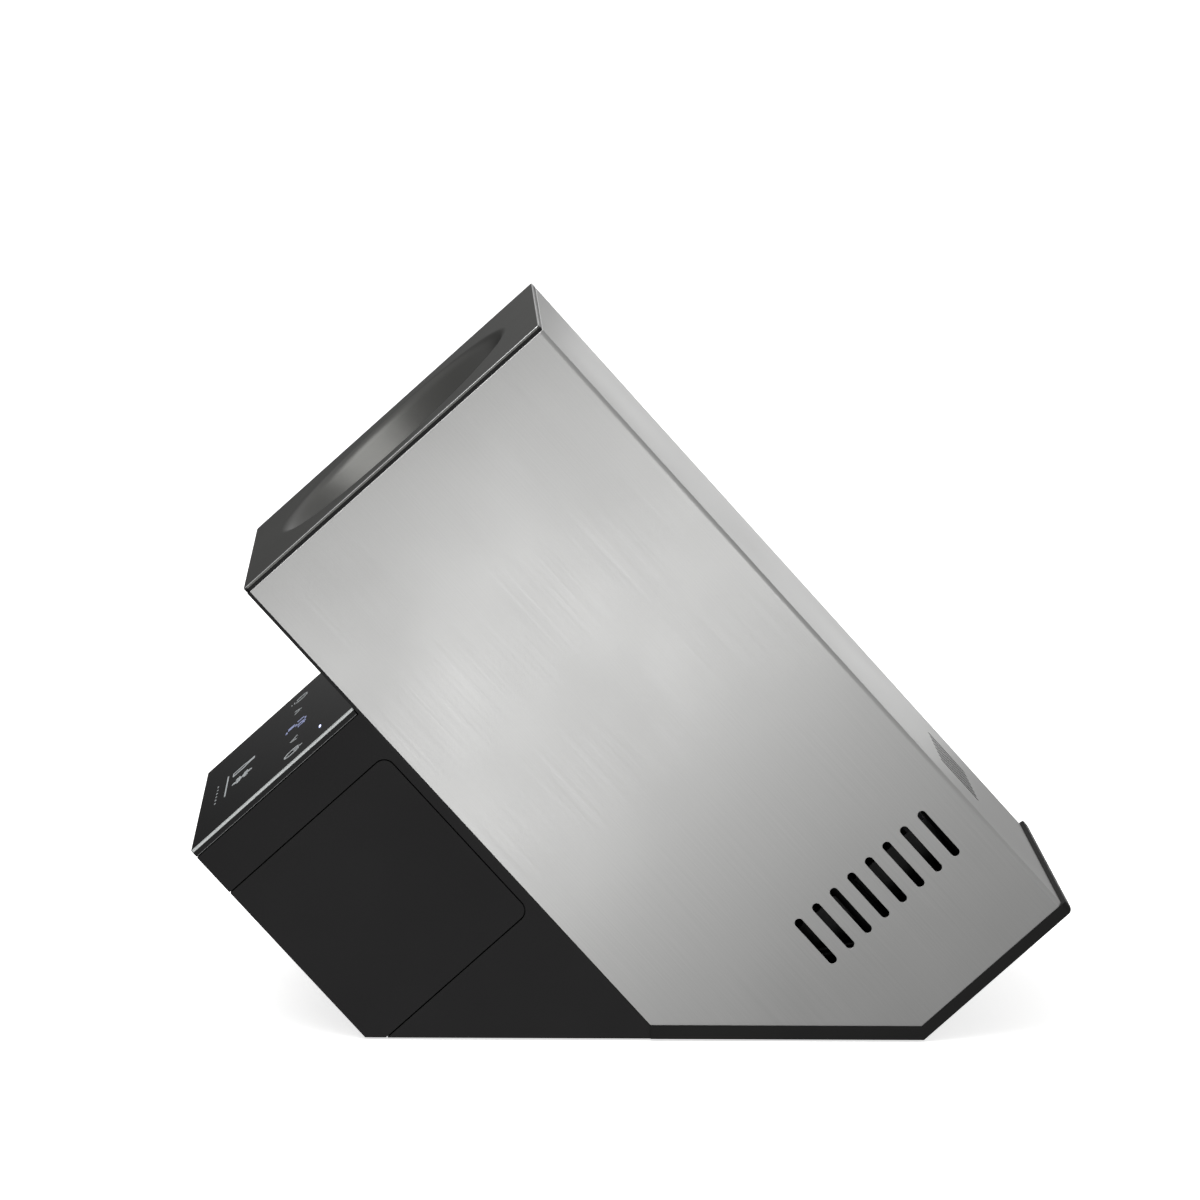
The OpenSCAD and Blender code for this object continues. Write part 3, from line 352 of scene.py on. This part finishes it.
def stroke(name, runs, width, key="print", height=0.34, closed=()):
    """Lines on the touch panel's face, through lists of points (x, y) in mm, as a raised print.

    Height is that of the whole line, half of it above the face. Closed lists the runs that are loops.
    """
    curve = bpy.data.curves.new(name, "CURVE")
    curve.dimensions = "3D"
    curve.bevel_depth = width / 2 * MM
    curve.bevel_resolution = 1
    curve.use_fill_caps = True
    for i, run in enumerate(runs):
        spline = curve.splines.new("POLY")
        spline.points.add(len(run) - 1)
        for point, (x, y) in zip(spline.points, run):
            point.co = (x * MM, y * MM, 0, 1)
        spline.use_cyclic_u = i in closed
    print_line = bpy.data.objects.new(name, curve)
    bpy.context.scene.collection.objects.link(print_line)
    only(print_line)
    bpy.ops.object.convert(target="MESH")
    print_line = bpy.context.view_layer.objects.active
    print_line.name = name
    print_line.scale.z = height / width
    bpy.ops.object.transform_apply(location=True, rotation=True, scale=True)
    print_line.data.transform(BODY @ Matrix.Translation((0, 0, -GLASS_D * MM)))
    print_line.data.materials.clear()
    print_line.data.materials.append(FINISHES[key])
    bpy.ops.object.shade_smooth_by_angle(angle=math.radians(40))
    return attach(print_line, "root")


def arc(x, y, r, start, end, steps=16):
    """Points on an arc about (x, y), its angles in degrees."""
    return [(x + r * math.cos(math.radians(start + (end - start) * i / steps)),
             y + r * math.sin(math.radians(start + (end - start) * i / steps))) for i in range(steps + 1)]


KEY_Y = -31                                    # the row of keys and digits
KEY_X, ARROW_X = 51, 28                        # the outer keys, and the arrows beside the digits
ARROW_W, ARROW_H = 3, 1.6                      # half the width and half the height of an arrow
stroke("power_key", [arc(KEY_X, KEY_Y, 3.8, 125, 415), [(KEY_X, KEY_Y + 0.6), (KEY_X, KEY_Y + 4.8)]], 0.75)
for name, x, peak in (("down_key", ARROW_X, -ARROW_H), ("up_key", -ARROW_X, ARROW_H)):
    stroke(name, [[(x - ARROW_W, KEY_Y - peak), (x, KEY_Y + peak), (x + ARROW_W, KEY_Y - peak)]], 0.75)
stroke("lamp_key", [arc(-KEY_X, KEY_Y + 0.9, 3, -55, 235),
                    [(-KEY_X - 1.4, KEY_Y - 2.6), (-KEY_X + 1.4, KEY_Y - 2.6)],
                    [(-KEY_X - 0.9, KEY_Y - 4), (-KEY_X + 0.9, KEY_Y - 4)]], 0.65)
# Seven-segment digits: each segment as (x0, y0, x1, y1) on a cell one wide and two high
SEGMENTS = {"a": (0, 2, 1, 2), "b": (1, 1, 1, 2), "c": (1, 0, 1, 1), "d": (0, 0, 1, 0), "e": (0, 0, 0, 1),
            "f": (0, 1, 0, 2), "g": (0, 1, 1, 1)}
CELL_W, CELL_H, GAP = 4.2, 4.7, 0.75           # a cell's scale, and the gap at a segment's ends
lit = []
for left, segments in ((-7.2, "bc"), (-0.6, "abged")):
    for key in segments:
        x0, y0, x1, y1 = SEGMENTS[key]
        dx, dy = x1 - x0, y1 - y0
        lit.append([(left + x0 * CELL_W + dx * GAP, KEY_Y - CELL_H + y0 * CELL_H + dy * GAP),
                    (left + x1 * CELL_W - dx * GAP, KEY_Y - CELL_H + y1 * CELL_H - dy * GAP)])
stroke("display_digits", lit, 0.95, "digits")
stroke("degree_sign", [arc(6.2, KEY_Y + 4.1, 0.8, 0, 330, 10),
                       [(9.6, KEY_Y + 4.4), (7.9, KEY_Y + 4.4), (7.9, KEY_Y + 1.4), (9.6, KEY_Y + 1.4)]],
       0.45, "digits")
stroke("status_dash", [[(47.8, -17.5), (50.3, -17.5)]], 0.95, "led", 0.5)
# Generic pictograms: a bottle and a snow crystal, with a line and a row of dots below
bottle_sign = [(-14, -63), (-14, -57.5), (-12.6, -55.4), (-12.6, -52.5), (-10.4, -52.5), (-10.4, -55.4),
               (-9, -57.5), (-9, -63)]
stroke("bottle_sign", [bottle_sign], 0.85, closed=(0,))


def off(point, r, angle):
    """The point r mm away in the direction of an angle in degrees."""
    return (point[0] + r * math.cos(math.radians(angle)), point[1] + r * math.sin(math.radians(angle)))


heart = (8, -57.8)
crystal = []
for branch in range(90, 450, 60):
    crystal.append([heart, off(heart, 5, branch)])
    knee = off(heart, 3, branch)
    crystal += [[knee, off(knee, 1.6, branch + aside)] for aside in (-40, 40)]
stroke("crystal_sign", crystal, 0.75)
stroke("sign_line", [[(-18.5, -66), (18.5, -66)]], 0.7)
stroke("sign_dots", [[(x - 0.5, -71), (x + 0.5, -71)] for x in range(-15, 16, 6)], 0.9)

# ---------- inner parts that keep their CAD shape ----------

for node, key in NODE_FINISH.items():
    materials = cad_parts[node].data.materials
    colours = [FINISHES[key]]
    if node in ("module_leads", "inlet_leads") and len(materials) > 1:
        colours = [FINISHES["live_wire"], FINISHES["wire_jacket"]]
    if len(materials) == 0:
        materials.append(None)
    for i in range(len(materials)):
        materials[i] = colours[min(i, len(colours) - 1)]

# ---------- camera ----------

eye = Vector((1.8962, -0.0715, 0.4706))
yaw, down, roll = [math.radians(angle) for angle in (1.838, 9.594, 0.688)]
ahead = Vector((-math.cos(down) * math.cos(yaw), math.cos(down) * math.sin(yaw), -math.sin(down)))
right = ahead.cross(Vector((0, 0, 1))).normalized()
upward = right.cross(ahead)
side = right * math.cos(roll) + upward * math.sin(roll)
top = upward * math.cos(roll) - right * math.sin(roll)
lens = bpy.data.cameras.new("camera")
lens.lens = 155.8
lens.sensor_width = 36
lens.clip_start, lens.clip_end = 0.05, 100
camera = bpy.data.objects.new("camera", lens)
bpy.context.scene.collection.objects.link(camera)
camera.matrix_world = Matrix.Translation(eye) @ Matrix((side, top, -ahead)).transposed().to_4x4()
bpy.context.scene.camera = camera

# ---------- studio ----------

MIDDLE = Vector((0, 0, 0.13))                  # middle of the object, in metres
FLOOR_SIZE = 60


def softbox(name, way, distance, width, height, power_w, upright):
    """An area light that looks at the middle of the object from the direction way.

    Its height runs along upright.
    """
    light = bpy.data.lights.new(name, "AREA")
    light.shape = "RECTANGLE"
    light.size, light.size_y = width, height
    light.energy = power_w
    lamp = bpy.data.objects.new(name, light)
    bpy.context.scene.collection.objects.link(lamp)
    lamp.visible_camera = False
    out = Vector(way).normalized()
    across = Vector(upright).cross(out).normalized()
    lamp.matrix_world = Matrix.Translation(MIDDLE + out * distance) @ Matrix(
        (across, out.cross(across), out)).transposed().to_4x4()


# Along the plane that the brushed grain reflects towards the camera, one on each side
height_way = BODY.to_3x3() @ Vector((0, 1, 0))
softbox("right_box", (1.64, -0.084, -0.345), 1.674, 0.26, 0.8, 3.5, height_way)
softbox("left_box", (-1.64, 0.476, 0.078), 1.71, 0.4, 0.8, 2.4, height_way)
softbox("top_box", (0.35, -0.35, 1), 2.2, 1.8, 1.8, 30, (0, 1, 0))

bpy.ops.object.select_all(action="DESELECT")
bpy.ops.mesh.primitive_plane_add(size=FLOOR_SIZE, location=(0, 0, 0))
floor = bpy.context.active_object
floor.name = "floor"
studio_floor = finish("white_studio_floor", "#F1F1F0", "#F4F4F3", (0.8, 0.9), 5, 0.0, 0)
shader = next(n for n in studio_floor.node_tree.nodes if n.type == "BSDF_PRINCIPLED")
shader.inputs["Emission Color"].default_value = (1, 1, 1, 1)
shader.inputs["Emission Strength"].default_value = 0.7
floor.data.materials.append(studio_floor)
floor.visible_glossy = floor.visible_diffuse = floor.visible_shadow = False

# The room: a pale wall behind, a fainter one in front and a dark gap between them, which the steel and the
# glass reflect. Above, they fade into an even pale ceiling.
world = bpy.data.worlds.new("studio")
bpy.context.scene.world = world
world.use_nodes = True
sky = world.node_tree
sky.nodes.clear()
way = add(sky, "ShaderNodeTexCoord", {})
parts = add(sky, "ShaderNodeSeparateXYZ", {}, {0: (way, "Generated")})
back, fore = [
    add(sky, "ShaderNodeMapRange", {"From Min": start, "From Max": end, "To Min": dim, "To Max": bright,
                                    "interpolation_type": "SMOOTHSTEP"}, {0: (parts, 1)})
    for start, end, dim, bright in ((-0.227, -0.012, 0.03, 0.56), (-0.5, -0.8, 0.0, 0.45))]
round_about = add(sky, "ShaderNodeMath", {"operation": "MAXIMUM"}, {0: (back, 0), 1: (fore, 0)})
rise = add(sky, "ShaderNodeMapRange", {"From Min": 0.1, "From Max": 0.6, "To Max": 0.6,
                                       "interpolation_type": "SMOOTHSTEP"},
           {0: (parts, 2), 3: (round_about, 0)})
glow = add(sky, "ShaderNodeBackground", {"Strength": 1.0}, {0: (rise, 0)})
add(sky, "ShaderNodeOutputWorld", {}, {0: (glow, 0)})
bpy.context.scene.view_settings.view_transform = "Standard"

bpy.context.view_layer.update()
